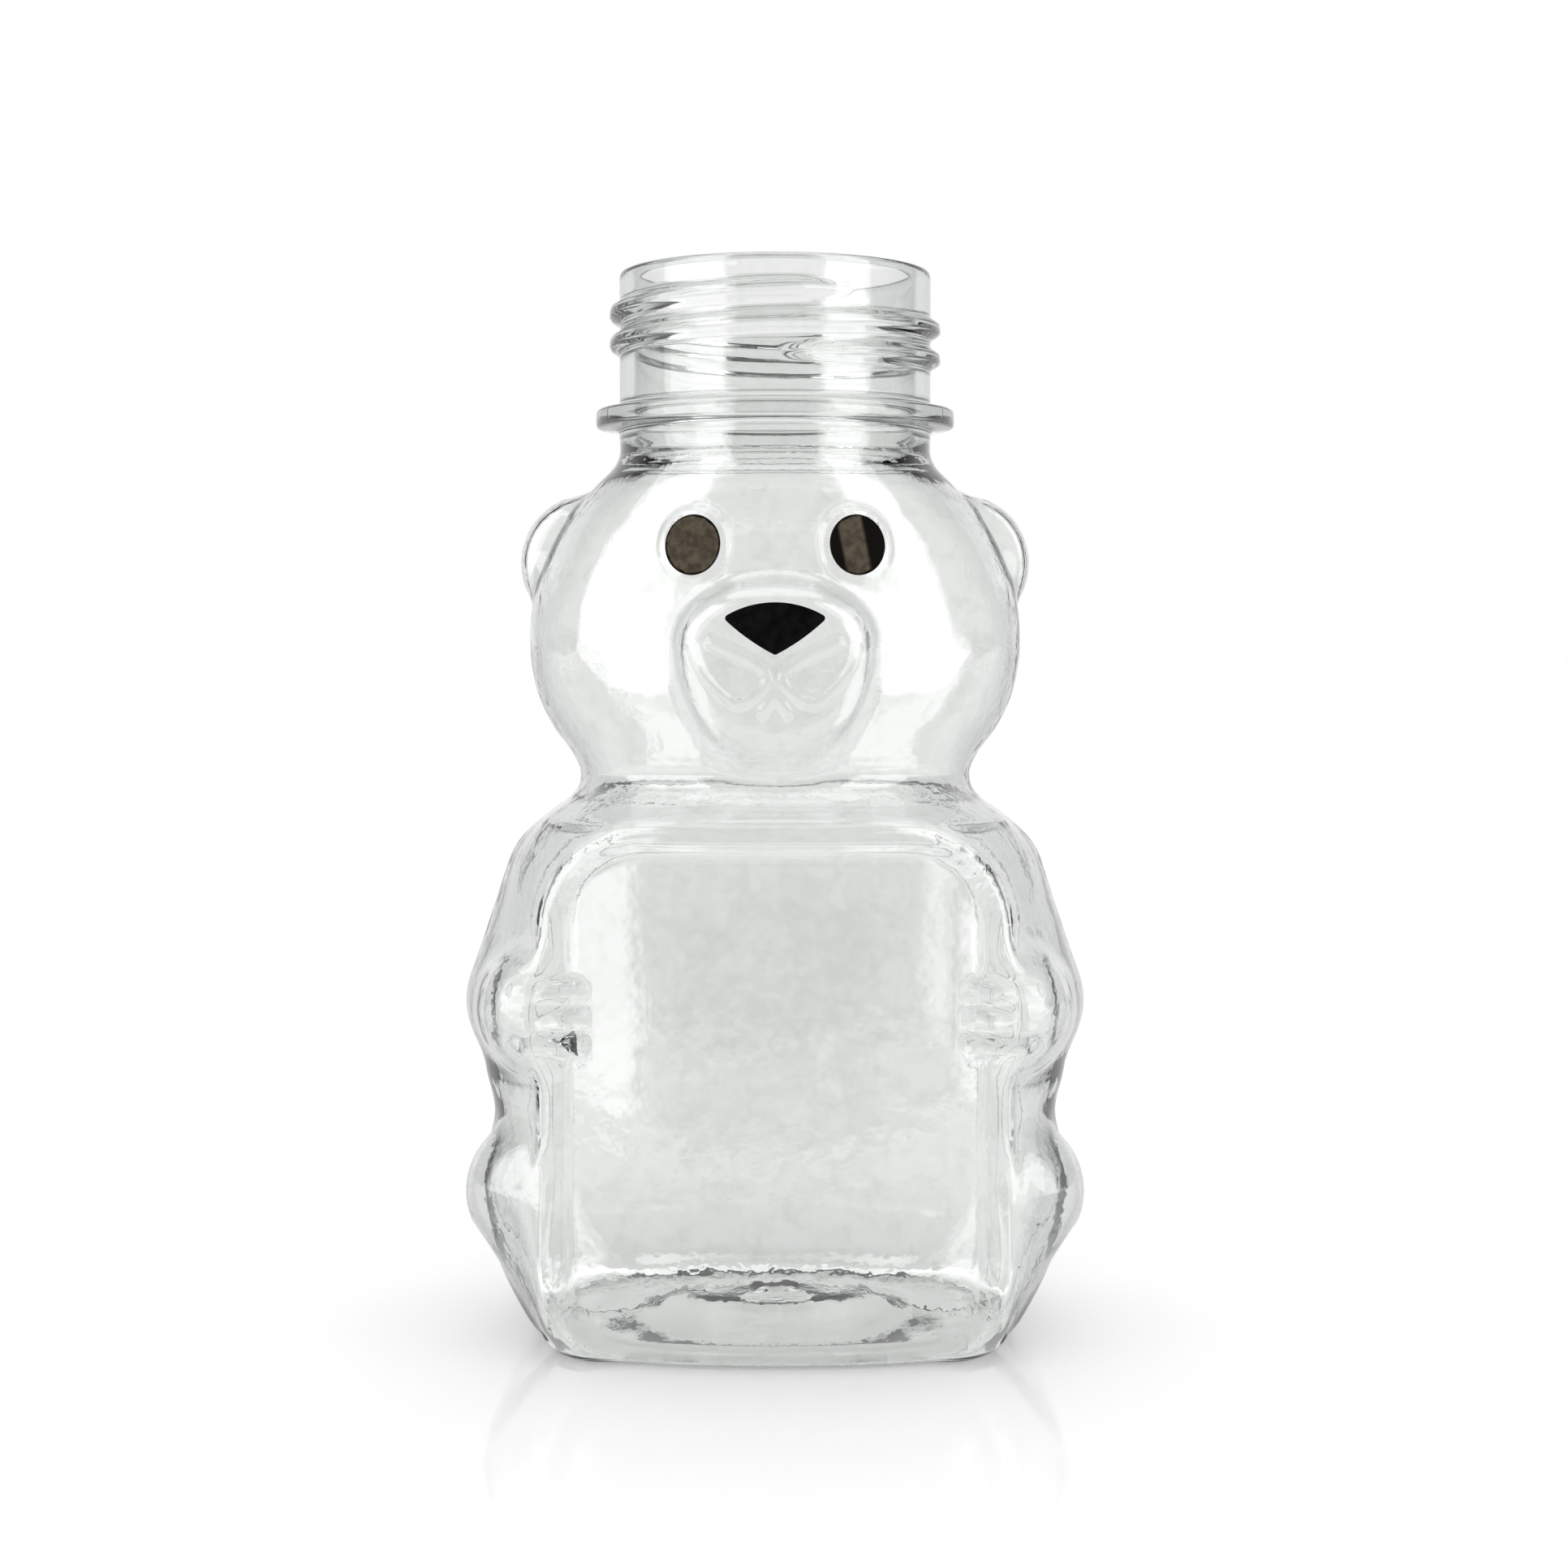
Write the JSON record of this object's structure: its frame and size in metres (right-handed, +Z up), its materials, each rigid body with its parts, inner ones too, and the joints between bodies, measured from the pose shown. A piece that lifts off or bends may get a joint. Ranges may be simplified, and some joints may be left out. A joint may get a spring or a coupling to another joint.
{
  "type": "honey bear bottle",
  "caption": "Clear blow-moulded plastic bottle shaped as a seated bear, with an open threaded neck, a neck ring, label panels and printed eyes and nose.",
  "frame": {"origin": "centre of the bottle's base, on the table, on the neck's axis", "axes": "+Z up along the neck's axis, the bear looks along -Y, its left side is at +X"},
  "size_m": [0.0682, 0.0486, 0.119],
  "materials": {
    "clear_bottle": "polished, transparent, colourless PET",
    "brown_print": "printed ink, satin",
    "black_print": "printed ink, satin"
  },
  "bodies": {
    "root": {"bottle": "clear_bottle", "left_eye": "brown_print", "right_eye": "brown_print", "nose": "black_print"}
  },
  "joints": []
}
